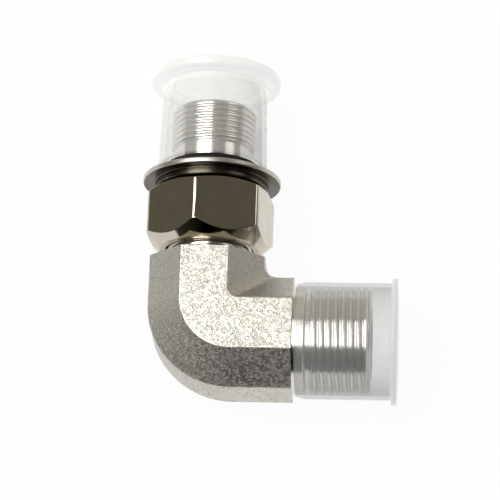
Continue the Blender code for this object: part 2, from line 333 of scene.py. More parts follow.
@dataclass(frozen=True)
class TurnedFinish:
    """Bright plated steel as it comes off a lathe, with fine rings round a leg and painted shadow darkening
    the thread roots.
    """

    colour: Colour = (0.76, 0.74, 0.70)
    # The darker colour: for random stains, and for painted shadow in the thread roots.
    stain_and_root_shadow: Colour = (0.46, 0.435, 0.39)
    root_shadow_share: float = 0.5
    root_margin: float = 0.0002
    root_soft: float = 0.0001
    stain_size: float = 0.004
    stain_edge: float = 0.45
    stain_width: float = 0.4
    stain_share: float = 0.2
    roughness: float = 0.20
    stain_roughness: float = 0.16
    ring_pitch: float = 0.0008
    ring_height: float = 0.1
    stain_height: float = 0.25
    relief: float = 0.000006

    def material(self, leg: Leg, crossing: Vector, thread: "ThreadForm") -> bpy.types.Material:
        """Builds the material.

        Args:
            leg: the leg round which the rings run.
            crossing: where the axes of the legs cross.
            thread: the thread that the leg carries.

        Returns:
            The material.
        """
        surface = Surface(f"turned_steel_finish_{leg.name.lower()}")
        rings = (surface.along(leg) * (math.tau / self.ring_pitch)).sine()
        stain = surface.noise(self.stain_size, CLOUD_DETAIL)
        radius = surface.from_axis(leg, crossing)
        # Painted shadow: the thread roots are darkened towards the darker colour.
        above_root = radius.above(thread.root_radius, thread.depth)
        under_root = radius.above(thread.root_radius - self.root_margin, self.root_soft)
        painted_root_shadow = under_root * (1.0 - above_root) * self.root_shadow_share
        root_shadow_and_stain = painted_root_shadow + stain.above(self.stain_edge, self.stain_width) * self.stain_share
        surface.set(
            Base_Color=surface.mix(root_shadow_and_stain, self.colour, self.stain_and_root_shadow),
            Roughness=self.roughness + (stain - 0.5) * self.stain_roughness,
            Metallic=1.0,
        )
        surface.bump(rings * self.ring_height + stain * self.stain_height, self.relief)
        return surface.material


@dataclass(frozen=True)
class PlatedFinish:
    """Plating with a faint ripple, mirror-like where its roughness is low."""

    name: str = "nut_plating_finish"
    colour: Colour = (0.56, 0.52, 0.44)
    tarnish: Colour = (0.48, 0.435, 0.34)
    roughness: float = 0.10
    ripple: float = 0.000010
    cloud_size: float = 0.006
    cloud_edge: float = 0.4
    cloud_width: float = 0.4
    cloud_roughness: float = 0.06
    cloud_height: float = 0.8
    brush_size: float = 0.0006
    brush_stretch: tuple[float, float, float] = (1.0, 0.08, 1.0)
    brush_height: float = 0.2

    def material(self) -> bpy.types.Material:
        """Builds the material.

        Returns:
            The material.
        """
        surface = Surface(self.name)
        cloud = surface.noise(self.cloud_size, CLOUD_DETAIL)
        brushing = surface.noise(self.brush_size, place=surface.mapped(self.brush_stretch))
        surface.set(
            Base_Color=surface.mix(cloud.above(self.cloud_edge, self.cloud_width), self.colour, self.tarnish),
            Roughness=self.roughness + (cloud - 0.5) * self.cloud_roughness,
            Metallic=1.0,
        )
        surface.bump(cloud * self.cloud_height + brushing * self.brush_height, self.ripple)
        return surface.material


@dataclass(frozen=True)
class RubberFinish:
    """Black moulded rubber."""

    colour: Colour = (0.006, 0.006, 0.007)
    bloom: Colour = (0.016, 0.016, 0.016)
    roughness: float = 0.60
    cloud_size: float = 0.002
    cloud_roughness: float = 0.15
    shine: float = 0.2
    grain_size: float = 0.0003
    relief: float = 0.000008

    def material(self) -> bpy.types.Material:
        """Builds the material.

        Returns:
            The material.
        """
        surface = Surface("black_rubber_finish")
        cloud = surface.noise(self.cloud_size, CLOUD_DETAIL)
        surface.set(
            Base_Color=surface.mix(cloud, self.colour, self.bloom),
            Roughness=self.roughness + (cloud - 0.5) * self.cloud_roughness,
            Metallic=0.0,
            Specular_IOR_Level=self.shine,
        )
        surface.bump(surface.noise(self.grain_size), self.relief)
        return surface.material


@dataclass(frozen=True)
class PlasticFinish:
    """Thin soft plastic that lets the metal behind it show.

    Where it is thick it has a colour of its own, and a painted glow that stands in for light coming through
    it.
    """

    name: str
    colour: Colour
    thick_colour: Colour
    cover: float
    edge_cover: float
    thick_cover: float
    thick_painted_glow: float
    fade: float
    roughness: float = 0.26
    edge_blend: float = 0.35
    thick_share: float = 0.95
    cloud_share: float = 0.05
    cloud_size: float = 0.007
    cloud_cover: float = 0.05
    cloud_roughness: float = 0.1
    shine: float = 0.4
    dent_size: float = 0.0022
    relief: float = 0.000020

    def material(self, leg: Leg, thick_from: float) -> bpy.types.Material:
        """Builds the material: it covers more where it is seen edge on, and where it is thick.

        Args:
            leg: the leg that the cap sits on.
            thick_from: the coordinate along that leg from which the plastic is thick.

        Returns:
            The material.
        """
        surface = Surface(self.name)
        cloud = surface.noise(self.cloud_size)
        edge = surface.node("ShaderNodeLayerWeight", {}, {"Blend": self.edge_blend}, "Facing")
        thick = surface.along(leg).above(thick_from - self.fade, self.fade)
        cover = self.cover + edge * (self.edge_cover - self.cover) + (cloud - 0.5) * self.cloud_cover
        body = thick * self.thick_share + cloud * self.cloud_share
        surface.set(
            Base_Color=surface.mix(body, self.colour, self.thick_colour),
            Roughness=self.roughness + (cloud - 0.5) * self.cloud_roughness,
            Metallic=0.0,
            Alpha=cover + thick * (self.thick_cover - cover),
            # Painted light: where thick, the plastic glows, which stands in for light passing through it.
            Emission_Color=surface.mix(thick, BLACK, (self.thick_painted_glow,) * 3),
            Emission_Strength=1.0,
            Specular_IOR_Level=self.shine,
        )
        surface.bump(surface.noise(self.dent_size), self.relief)
        return surface.material


def arc(centre: Point, radius: float, start: float, end: float, steps: int) -> list[Point]:
    """Points of an arc.

    Args:
        centre: the arc's centre.
        radius: its radius.
        start: the first angle, in degrees.
        end: the last angle, in degrees.
        steps: how many chords it has.

    Returns:
        The points, both ends included.
    """
    angles = (math.radians(start + (end - start) * k / steps) for k in range(steps + 1))
    return [(centre[0] + radius * math.cos(a), centre[1] + radius * math.sin(a)) for a in angles]


def filleted(corners: Sequence[Corner], closed: bool, steps: int = 4) -> list[Point]:
    """Rounds the corners of a section.

    Args:
        corners: (radius from the axis, height, fillet radius), in order.
        closed: whether the last corner joins the first.
        steps: how many chords each fillet has.

    Returns:
        The points of the rounded section.
    """
    points: list[Point] = []
    count = len(corners)
    for k, (x, z, radius) in enumerate(corners):
        here = Vector((x, z))
        at_end = not closed and k in (0, count - 1)
        if at_end or radius <= 0:
            points.append((x, z))
            continue
        before = Vector(corners[k - 1][:2]) - here
        after = Vector(corners[(k + 1) % count][:2]) - here
        half_angle = before.angle(after) / 2
        limit = min(FILLET_REACH * before.length, FILLET_REACH * after.length)
        reach = min(radius / math.tan(half_angle), limit)
        true_radius = reach * math.tan(half_angle)
        bisector = (before.normalized() + after.normalized()).normalized()
        centre = here + bisector * (true_radius / math.sin(half_angle))
        first = here + before.normalized() * reach - centre
        last = here + after.normalized() * reach - centre
        sweep = first.angle_signed(last)
        for step in range(steps + 1):
            turned = Matrix.Rotation(-sweep * step / steps, 2) @ first
            points.append(tuple(centre + turned))
    return points


def revolve(section: Sequence[Point], steps: int = TURN_STEPS) -> bmesh.types.BMesh:
    """Spins a section about Z into a closed solid.

    Args:
        section: (radius, height) points, from axis to axis or all off the axis and closed.
        steps: how many steps the full turn has.

    Returns:
        A new bmesh, faces outwards.
    """
    bm = bmesh.new()
    verts = [bm.verts.new((radius, 0, height)) for radius, height in section]
    edges = [bm.edges.new(pair) for pair in zip(verts, verts[1:])]
    if section[0][0] > ON_AXIS:
        edges.append(bm.edges.new((verts[-1], verts[0])))
    bmesh.ops.spin(
        bm, geom=verts + edges, cent=(0, 0, 0), axis=(0, 0, 1), angle=math.tau, steps=steps, use_merge=True
    )
    bmesh.ops.remove_doubles(bm, verts=bm.verts[:], dist=MERGE)
    bmesh.ops.recalc_face_normals(bm, faces=bm.faces[:])
    return bm


@dataclass(frozen=True)
class ThreadForm:
    """A right-hand pipe thread between two heights, chamfered at both ends."""

    major_radius: float
    pitch: float
    start: float
    end: float
    start_chamfer: float
    end_chamfer: float
    depth_share: float = 0.32
    flat_share: float = 0.38
    corner_share: float = 0.04
    corner_steps: int = 2
    overrun: float = 1.5
    steps: int = TURN_STEPS

    @property
    def depth(self) -> float:
        """How deep the thread is."""
        return self.depth_share * self.pitch

    @property
    def root_radius(self) -> float:
        """The radius of the thread's roots."""
        return self.major_radius - self.depth

    def section(self) -> list[Point]:
        """One pitch of the thread, from the middle of a root to the middle of the next one.

        Returns:
            (radius, height) points.
        """
        root = self.root_radius
        half_root = self.flat_share / 2
        half_crest = 0.5 - self.flat_share / 2
        soft = self.corner_share * self.pitch
        corners = [
            (root, 0.0, 0.0),
            (root, half_root * self.pitch, soft),
            (self.major_radius, half_crest * self.pitch, soft),
            (self.major_radius, (1 - half_crest) * self.pitch, soft),
            (root, (1 - half_root) * self.pitch, soft),
            (root, self.pitch, 0.0),
        ]
        return filleted(corners, closed=False, steps=self.corner_steps)

    def wind(self) -> bmesh.types.BMesh:
        """Winds the section into a helix, one turn by a spin and the others as copies of it.

        Returns:
            An open helix that runs past both ends of the thread, by overrun pitches or more.
        """
        bm = bmesh.new()
        foot = self.start - self.overrun * self.pitch
        verts = [bm.verts.new((radius, 0, foot + height)) for radius, height in self.section()]
        edges = [bm.edges.new(pair) for pair in zip(verts, verts[1:])]
        bmesh.ops.spin(
            bm, geom=verts + edges, cent=(0, 0, 0), axis=(0, 0, 1), dvec=(0, 0, self.pitch / self.steps),
            angle=math.tau, steps=self.steps, use_merge=False,
        )
        turn = [*bm.verts, *bm.edges, *bm.faces]
        turns = math.ceil((self.end - self.start) / self.pitch) + math.ceil(2 * self.overrun)
        for k in range(1, turns):
            copy = bmesh.ops.duplicate(bm, geom=turn)["geom"]
            moved = [item for item in copy if isinstance(item, bmesh.types.BMVert)]
            bmesh.ops.translate(bm, verts=moved, vec=(0, 0, k * self.pitch))
        bmesh.ops.remove_doubles(bm, verts=bm.verts[:], dist=WELD)
        return bm

    def slice(self, bm: bmesh.types.BMesh, height: float, keep: int) -> None:
        """Cuts the helix at a height.

        Args:
            bm: the helix.
            height: where the plane is.
            keep: 1 keeps what is above, -1 what is below, and 0 keeps both.
        """
        bmesh.ops.bisect_plane(
            bm, geom=[*bm.verts, *bm.edges, *bm.faces], dist=MERGE,
            plane_co=(0, 0, height), plane_no=(0, 0, -keep or 1), clear_outer=keep != 0,
        )
        if keep:
            rim = [
                edge for edge in bm.edges
                if edge.is_boundary and all(abs(vert.co.z - height) < WELD for vert in edge.verts)
            ]
            bmesh.ops.edgeloop_fill(bm, edges=rim)

    def solid(self) -> bmesh.types.BMesh:
        """The thread as a closed solid, cut square at both ends and chamfered there.

        Returns:
            The thread along Z, faces outwards.
        """
        bm = self.wind()
        self.slice(bm, self.start, 1)
        self.slice(bm, self.end, -1)
        self.slice(bm, self.start + self.start_chamfer, 0)
        self.slice(bm, self.end - self.end_chamfer, 0)
        for vert in bm.verts:
            from_start = self.start + self.start_chamfer - vert.co.z
            from_end = vert.co.z - self.end + self.end_chamfer
            limit = self.major_radius - max(0.0, from_start, from_end)
            radius = math.hypot(vert.co.x, vert.co.y)
            if radius > limit:
                vert.co.x *= limit / radius
                vert.co.y *= limit / radius
        bmesh.ops.recalc_face_normals(bm, faces=bm.faces[:])
        return bm


@dataclass
class Layout:
    """Where things are, read from the frame: the axes of the legs and the pieces' ends."""

    stud_axis_x: float = field(init=False)
    axis_z: float = field(init=False)
    side_axis_y: float = field(init=False)

    def __post_init__(self) -> None:
        """Reads the axes from round pieces that are centred on them."""
        low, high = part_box("o_ring")
        self.stud_axis_x = (low.x + high.x) / 2
        self.axis_z = (low.z + high.z) / 2
        low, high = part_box("side_cap")
        self.side_axis_y = (low.y + high.y) / 2

    @property
    def crossing(self) -> Vector:
        """Where the axes of the two legs cross."""
        return Vector((self.stud_axis_x, self.side_axis_y, self.axis_z))

    def matrix(self, leg: Leg, turn: float = 0.0) -> Matrix:
        """Carries a solid made along Z, from the crossing, onto a leg.

        Args:
            leg: the leg to lie along.
            turn: how far it turns about that leg, in radians.

        Returns:
            The transform.
        """
        if leg is Leg.STUD:
            lie = Matrix.Rotation(turn, 4, "Y") @ Matrix.Rotation(-math.pi / 2, 4, "X")
        else:
            lie = Matrix.Rotation(turn, 4, "X") @ Matrix.Rotation(math.pi / 2, 4, "Y")
        return Matrix.Translation(self.crossing) @ lie

    def span(self, node: str, leg: Leg) -> tuple[float, float]:
        """A node's reach along a leg.

        Args:
            node: the node's name.
            leg: the leg.

        Returns:
            Its lowest and its highest station, from the crossing.
        """
        low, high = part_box(node)
        if leg is Leg.STUD:
            return low.y - self.side_axis_y, high.y - self.side_axis_y
        return low.x - self.stud_axis_x, high.x - self.stud_axis_x

    def radius(self, node: str, leg: Leg) -> float:
        """Half of a node's width across a leg."""
        low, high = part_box(node)
        return (high.x - low.x) / 2 if leg is Leg.STUD else (high.y - low.y) / 2


class Workshop:
    """Makes objects of meshes, joins them and gives them to the frame."""

    @staticmethod
    def solid(
        name: str, bm: bmesh.types.BMesh, place: Matrix, *materials: bpy.types.Material
    ) -> bpy.types.Object:
        """Turns a bmesh into an object at the origin, with its place in its mesh.

        Args:
            name: the object's name.
            bm: the shape, which is freed.
            place: the transform that is written into the mesh.
            materials: the object's materials, in the order of its slots.

        Returns:
            The new object.
        """
        bmesh.ops.transform(bm, matrix=place, verts=bm.verts[:])
        mesh = bpy.data.meshes.new(name)
        bm.to_mesh(mesh)
        bm.free()
        for material in materials:
            mesh.materials.append(material)
        made = bpy.data.objects.new(name, mesh)
        bpy.context.scene.collection.objects.link(made)
        return made

    @staticmethod
    def join(target: bpy.types.Object, tool: bpy.types.Object, joining: Joining) -> None:
        """Adds a Boolean to an object.

        Args:
            target: the object.
            tool: the solid that it meets.
            joining: how the two meet.
        """
        boolean = target.modifiers.new(tool.name, "BOOLEAN")
        boolean.operation = joining.value
        boolean.solver = "EXACT"
        boolean.material_mode = "TRANSFER"
        boolean.object = tool

    @staticmethod
    def apply(target: bpy.types.Object, tools: Iterable[bpy.types.Object] = ()) -> None:
        """Writes an object's modifiers into its mesh.

        Args:
            target: the object.
            tools: the solids that it was joined with, which are removed.
        """
        graph = bpy.context.evaluated_depsgraph_get()
        mesh = bpy.data.meshes.new_from_object(target.evaluated_get(graph))
        target.modifiers.clear()
        target.data = mesh
        mesh.name = target.name
        for tool in tools:
            bpy.data.objects.remove(tool, do_unlink=True)

    @classmethod
    def finish(cls, target: bpy.types.Object) -> None:
        """Shades an object smooth, with flat faces kept flat and sharp edges kept sharp.

        Args:
            target: the object.
        """
        target.data.shade_smooth()
        target.data.set_sharp_from_angle(angle=SMOOTH_ANGLE)
        normals = target.modifiers.new("even_faces", "WEIGHTED_NORMAL")
        normals.keep_sharp = True
        cls.apply(target)

    @classmethod
    def hand_over(cls, piece: bpy.types.Object, body: str, node: str, slot: str) -> bpy.types.Object:
        """Finishes a piece, lets it ride on its body and hides the node that it stands for.

        Args:
            piece: the piece.
            body: the body that it moves with.
            node: the node that it stands for.
            slot: the record's material slot; not used.

        Returns:
            The same piece.
        """
        cls.finish(piece)
        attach(piece, body)
        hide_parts(node)
        return piece


@dataclass
class Elbow:
    """The forged and turned elbow body."""

    layout: Layout
    half_height: float = 0.0180
    half_width: float = 0.0180
    stud_flat: float = 0.0075
    side_flat: float = 0.00815
    edge_flat: float = 0.00765
    corner_round: float = 0.0011
    bend_centre: float = 0.0086
    inner_fillet: float = 0.0042
    crease_fillet: float = 0.0034
    stud_forging: float = 0.0247
    side_forging: float = 0.0273
    stud_radius: float = 0.01322
    stud_bore: float = 0.0082
    stud_pitch: float = 0.001814
    undercut_radius: float = 0.0122
    undercut_start: float = 0.0508
    undercut_end: float = 0.0618
    side_radius: float = 0.016625
    side_bore: float = 0.0100
    side_pitch: float = 0.002309
    side_neck_end: float = 0.0311
    side_thread_start: float = 0.0327
    relief_radius: float = 0.0151
    seat_mouth: float = 0.0128
    groove_width: float = 0.0012
    groove_depth: float = 0.0007
    stud_chamfer: float = 0.0010
    side_chamfer: float = 0.0012
    turned_round: float = 0.0003
    core_inset: float = 0.0010
    core_step: float = 0.0001
    flat_margin: float = 0.0016
    stud_mouth: float = 0.0006
    stud_past: float = 0.0010
    side_past: float = 0.0012
    seat_slope: float = math.radians(30)
    drill_point: float = math.radians(59)
    bend_steps: int = 40
    inner_steps: int = 8
    corner_steps: int = 5
    stud_steps: int = 128
    bore_steps: int = 96
    nut_thread_steps: int = 96

    def outline(self, share: float) -> list[Point]:
        """The L at one level of the forging.

        Args:
            share: 0 at the edge of the flats, 1 at the sides.

        Returns:
            The outline's points round the crossing.
        """
        stud = self.stud_flat + share * (self.half_width - self.stud_flat)
        side = self.side_flat + share * (self.half_width - self.side_flat)
        fillet = self.crease_fillet + max(0.0, share) * (self.inner_fillet - self.crease_fillet)
        bend = []
        for k in range(self.bend_steps + 1):
            angle = math.pi / 2 * k / self.bend_steps
            bend.append((
                self.bend_centre - (self.bend_centre + stud) * math.cos(angle),
                self.bend_centre - (self.bend_centre + side) * math.sin(angle),
            ))
        inner = arc((stud + fillet, side + fillet), fillet, 270, 180, self.inner_steps)
        return [
            (-stud, self.stud_forging),
            (-stud, (self.stud_forging + self.bend_centre) / 2),
            *bend,
            ((self.side_forging + self.bend_centre) / 2, -side),
            (self.side_forging, -side),
            (self.side_forging, side),
            *inner,
            (stud, self.stud_forging),
        ]

    def levels(self) -> list[tuple[float, float]]:
        """The levels of the forging, with the edges of its flats and sides rounded.

        Returns:
            (share, height) for each level, from the upper flat down.
        """
        top, wide, flat, edge = self.half_height, self.half_width, self.stud_flat, self.edge_flat
        corners = [
            (flat - self.flat_margin, top, 0.0),
            (flat, top, self.corner_round),
            (wide, edge, self.corner_round),
            (wide, -edge, self.corner_round),
            (flat, -top, self.corner_round),
            (flat - self.flat_margin, -top, 0.0),
        ]
        section = filleted(corners, closed=False, steps=self.corner_steps)[1:-1]
        return [((width - flat) / (wide - flat), height) for width, height in section]

    def forging(self) -> bmesh.types.BMesh:
        """The forging: its outlines at each level, bridged from the upper flat to the lower.

        Returns:
            The closed forging round the crossing.
        """
        bm = bmesh.new()
        loops = []
        for share, height in self.levels():
            verts = [bm.verts.new((x, y, height)) for x, y in self.outline(share)]
            pairs = zip(verts, verts[1:] + verts[:1])
            loops.append([bm.edges.new(pair) for pair in pairs])
        for upper, lower in zip(loops, loops[1:]):
            bmesh.ops.bridge_loops(bm, edges=upper + lower)
        for loop in (loops[0], loops[-1]):
            bmesh.ops.contextual_create(bm, geom=loop)
        bmesh.ops.recalc_face_normals(bm, faces=bm.faces[:])
        self.mark_machined_ends(bm)
        return bm

    def mark_machined_ends(self, bm: bmesh.types.BMesh) -> None:
        """Gives the forging's two end faces the second material.

        Args:
            bm: the forging.
        """
        for face in bm.faces:
            at_stud = all(abs(v.co.y - self.stud_forging) < MERGE for v in face.verts)
            at_side = all(abs(v.co.x - self.side_forging) < MERGE for v in face.verts)
            if at_stud or at_side:
                face.material_index = 1

    def stud_core(self, end: float) -> bmesh.types.BMesh:
        """The turned stud under its threads: the undercut and the groove at the neck.

        Args:
            end: the station of the leg's end face.

        Returns:
            The shape along Z, from inside the forging to just under the end face.
        """
        groove = self.stud_radius - self.groove_depth
        groove_top = self.stud_forging + self.groove_width + self.core_inset
        return revolve(
            [
                (0, end - self.core_inset),
                (self.undercut_radius, end - self.core_inset),
                (self.undercut_radius, groove_top + self.core_inset),
                (groove, groove_top),
                (groove, self.stud_forging / 2),
                (0, self.stud_forging / 2),
            ],
            self.stud_steps,
        )

    def stud_threads(self, end: float) -> tuple[ThreadForm, ThreadForm]:
        """The two threads of the stud.

        Args:
            end: the station of the leg's end face.

        Returns:
            The thread at the stud's end, and the one that the lock nut runs on.
        """
        radius, pitch, step = self.stud_radius, self.stud_pitch, self.core_step
        runout = radius - self.undercut_radius
        groove = self.stud_forging + self.groove_width
        upper = ThreadForm(radius, pitch, self.undercut_end, end, runout / 2, self.stud_chamfer)
        lower = ThreadForm(
            radius, pitch, groove, self.undercut_start, self.groove_depth - step, runout - step,
            steps=self.nut_thread_steps,
        )
        return upper, lower

    def side_core(self, end: float) -> bmesh.types.BMesh:
        """The turned side leg under its thread: the relief and the plain neck.

        Args:
            end: the station of the leg's end face.

        Returns:
            The shape along Z, from inside the forging to just under the end face.
        """
        radius, relief, soft = self.side_radius, self.relief_radius, self.turned_round
        return revolve(
            [
                (0, end - self.core_inset),
                (relief, end - self.core_inset),
                (relief, self.side_neck_end + soft),
                (relief + soft, self.side_neck_end),
                (radius - soft, self.side_neck_end),
                (radius, self.side_neck_end - soft),
                (radius, self.side_forging / 2),
                (0, self.side_forging / 2),
            ]
        )

    def side_thread(self, end: float) -> ThreadForm:
        """The thread of the side leg, up to its end face."""
        start = self.side_thread_start
        return ThreadForm(self.side_radius, self.side_pitch, start, end, self.turned_round, self.side_chamfer)

    def stud_drill(self, end: float) -> bmesh.types.BMesh:
        """The bore of the stud leg, with a small chamfer at its mouth.

        Args:
            end: the station of the leg's end face.

        Returns:
            The shape to cut away, along Z.
        """
        radius, past = self.stud_bore, self.stud_past
        return revolve(
            [
                (0, end + past),
                (radius + self.stud_mouth + past, end + past),
                (radius, end - self.stud_mouth),
                (radius, 0),
                (0, 0),
            ],
            self.bore_steps,
        )

    def side_drill(self, end: float) -> bmesh.types.BMesh:
        """The bore of the side leg, with the cone seat and the drill's point.

        Args:
            end: the station of the leg's end face.

        Returns:
            The shape to cut away, along Z.
        """
        radius, past = self.side_bore, self.side_past
        slope = math.tan(self.seat_slope)
        return revolve(
            [
                (0, end + past),
                (self.seat_mouth + past * slope, end + past),
                (radius, end - (self.seat_mouth - radius) / slope),
                (radius, -self.stud_bore),
                (0, -self.stud_bore - radius / math.tan(self.drill_point)),
            ],
            self.bore_steps,
        )

    def build(self) -> bpy.types.Object:
        """Joins the forging and the turned legs, drills them and hands the piece over.

        Returns:
            The finished elbow.
        """
        layout = self.layout
        stud_end = layout.span("elbow_body", Leg.STUD)[1]
        side_end = layout.span("elbow_body", Leg.SIDE)[1]
        upper, lower = self.stud_threads(stud_end)
        side = self.side_thread(side_end)
        forged = ForgedFinish().material()
        turned = {
            Leg.STUD: TurnedFinish().material(Leg.STUD, layout.crossing, upper),
            Leg.SIDE: TurnedFinish().material(Leg.SIDE, layout.crossing, side),
        }
        centre = Matrix.Translation(layout.crossing)
        body = Workshop.solid("forged_elbow", self.forging(), centre, forged, turned[Leg.STUD])
        steps = (
            ("stud_core", self.stud_core(stud_end), Leg.STUD, Joining.ADD),
            ("stud_thread", upper.solid(), Leg.STUD, Joining.ADD),
            ("nut_thread", lower.solid(), Leg.STUD, Joining.ADD),
            ("side_core", self.side_core(side_end), Leg.SIDE, Joining.ADD),
            ("side_thread", side.solid(), Leg.SIDE, Joining.ADD),
            ("side_drill", self.side_drill(side_end), Leg.SIDE, Joining.CUT),
            ("stud_drill", self.stud_drill(stud_end), Leg.STUD, Joining.CUT),
        )
        tools = []
        for name, shape, leg, joining in steps:
            tools.append(Workshop.solid(name, shape, layout.matrix(leg), turned[leg]))
            Workshop.join(body, tools[-1], joining)
        Workshop.apply(body, tools)
        return Workshop.hand_over(body, "elbow", "elbow_body", "forged_steel")


@dataclass
class LockNut:
    """The hexagonal nut, chamfered at both ends."""

    layout: Layout
    across_flats: float = 0.0360
    turn: float = math.radians(19.4)
    top_face: float = 0.0173
    top_slope: float = math.radians(30)
    foot_face: float = 0.0158
    foot_slope: float = math.radians(45)
    bore: float = 0.01352
    countersink: float = 0.0008
    corner_round: float = 0.0010
    edge_round: float = 0.00016
    edge_angle: float = math.radians(20)
    corner_steps: int = 5
    edge_steps: int = 2
    past: float = 0.0010
    clear: float = 0.0003

    @property
    def corner_radius(self) -> float:
        """The radius of the hexagon's sharp corners."""
        return self.across_flats / 2 / math.cos(HALF_FLAT)

    def bar(self, foot: float, top: float) -> bmesh.types.BMesh:
        """The hexagonal bar with rounded corners, one flat towards -Y.

        Args:
            foot: its lower station.
            top: its upper station.

        Returns:
            The bar along Z.
        """
        bm = bmesh.new()
        radius = self.corner_radius
        bmesh.ops.create_cone(bm, cap_ends=True, segments=6, radius1=radius, radius2=radius, depth=top - foot)
        bmesh.ops.rotate(bm, verts=bm.verts[:], matrix=Matrix.Rotation(HALF_FLAT, 3, "Z"))
        bmesh.ops.translate(bm, verts=bm.verts[:], vec=(0, 0, (foot + top) / 2))
        upright = [e for e in bm.edges if abs(e.verts[0].co.z - e.verts[1].co.z) > (top - foot) / 2]
        bmesh.ops.bevel(
            bm, geom=upright, offset=self.corner_round, offset_type="OFFSET", segments=self.corner_steps,
            profile=0.5, affect="EDGES", material=-1,
        )
        return bm

    def blank(self, foot: float, top: float) -> bmesh.types.BMesh:
        """The turned ring that chamfers both ends of the bar, with its bore and countersinks.

        Args:
            foot: the station of the nut's lower face.
            top: the station of its upper face.

        Returns:
            The ring along Z.
        """
        wide = self.corner_radius + self.clear
        mouth = self.bore + self.countersink
        return revolve(
            [
                (self.bore, top - self.countersink),
                (mouth, top),
                (self.top_face, top),
                (wide, top - (wide - self.top_face) * math.tan(self.top_slope)),
                (wide, foot + (wide - self.foot_face) * math.tan(self.foot_slope)),
                (self.foot_face, foot),
                (mouth, foot),
                (self.bore, foot + self.countersink),
            ]
        )

    def build(self) -> bpy.types.Object:
        """Makes the nut, softens its edges and hands it over.

        Returns:
            The finished nut.
        """
        foot, top = self.layout.span("lock_nut", Leg.STUD)
        plating = PlatedFinish().material()
        lie, turned = self.layout.matrix(Leg.STUD), self.layout.matrix(Leg.STUD, self.turn)
        nut = Workshop.solid("plated_nut", self.bar(foot - self.past, top + self.past), turned, plating)
        blank = Workshop.solid("nut_blank", self.blank(foot, top), lie, plating)
        Workshop.join(nut, blank, Joining.KEEP)
        bevel = nut.modifiers.new("soft_edges", "BEVEL")
        bevel.width = self.edge_round
        bevel.segments = self.edge_steps
        bevel.limit_method = "ANGLE"
        bevel.angle_limit = self.edge_angle
        bevel.use_clamp_overlap = True
        Workshop.apply(nut, (blank,))
        return Workshop.hand_over(nut, "nut", "lock_nut", "nut_plating")


@dataclass
class RetainingWasher:
    """The stepped ring between the nut and the O-ring."""

    layout: Layout
    rim_thickness: float = 0.0016
    hub_radius: float = 0.0180
    bore: float = 0.01352
    recess_radius: float = 0.0162
    recess_depth: float = 0.0004
    rim_round: float = 0.00040
    hub_round: float = 0.0005
    recess_round: float = 0.0001
    inner_round: float = 0.0003
    steps: int = 160
    bright: PlatedFinish = PlatedFinish(
        name="washer_plating_finish",
        colour=(0.56, 0.54, 0.49),
        tarnish=(0.48, 0.45, 0.40),
        roughness=0.36,
        ripple=0.000008,
    )
    # A dark copy of the plating, which paints shadow on the hub and under the rim.
    painted_shadow_plating: PlatedFinish = PlatedFinish(
        name="painted_shadow_plating_finish",
        colour=(0.10, 0.09, 0.07),
        tarnish=(0.06, 0.052, 0.04),
        roughness=0.26,
        ripple=0.000012,
    )

    def mark_painted_shadow_side(self, bm: bmesh.types.BMesh, rim: float, top: float) -> None:
        """Gives the hub and the underside of the rim the second material, a dark copy of the plating that
        paints shadow under the rim.

        Args:
            bm: the washer along Z.
            rim: the rim's radius.
            top: the station of its upper face.
        """
        for face in bm.faces:
            centre = face.calc_center_median()
            under_rim = centre.z < top - self.rim_thickness + 0.5 * self.rim_round
            if under_rim and math.hypot(centre.x, centre.y) < rim - 0.5 * self.rim_round:
                # Painted shadow: under the rim, the hub takes the dark plating.
                face.material_index = 1

    def build(self) -> bpy.types.Object:
        """Turns the washer and hands it over.

        Returns:
            The finished washer.
        """
        foot, top = self.layout.span("retaining_washer", Leg.STUD)
        rim = self.layout.radius("retaining_washer", Leg.STUD)
        rim_foot = top - self.rim_thickness
        section = filleted(
            [
                (self.bore, top - self.recess_depth, 0),
                (self.recess_radius, top - self.recess_depth, 0),
                (self.recess_radius, top, self.recess_round),
                (rim, top, self.rim_round),
                (rim, rim_foot, self.rim_round),
                (self.hub_radius, rim_foot, self.inner_round),
                (self.hub_radius, foot, self.hub_round),
                (self.bore, foot, self.inner_round),
            ],
            closed=True,
        )
        ring = revolve(section, self.steps)
        self.mark_painted_shadow_side(ring, rim, top)
        platings = (self.bright.material(), self.painted_shadow_plating.material())
        washer = Workshop.solid("turned_washer", ring, self.layout.matrix(Leg.STUD), *platings)
        return Workshop.hand_over(washer, "washer", "retaining_washer", "washer_plating")


@dataclass
class SealRing:
    """The O-ring in the undercut."""

    layout: Layout
    section_steps: int = 32

    def build(self) -> bpy.types.Object:
        """Sweeps the round section and hands the ring over.

        Returns:
            The finished ring.
        """
        low, high = self.layout.span("o_ring", Leg.STUD)
        half = (high - low) / 2
        circle = self.layout.radius("o_ring", Leg.STUD) - half
        section = arc((circle, (low + high) / 2), half, 0, -360, self.section_steps)[:-1]
        rubber = RubberFinish().material()
        ring = Workshop.solid("seal_ring", revolve(section), self.layout.matrix(Leg.STUD), rubber)
        return Workshop.hand_over(ring, "elbow", "o_ring", "black_rubber")


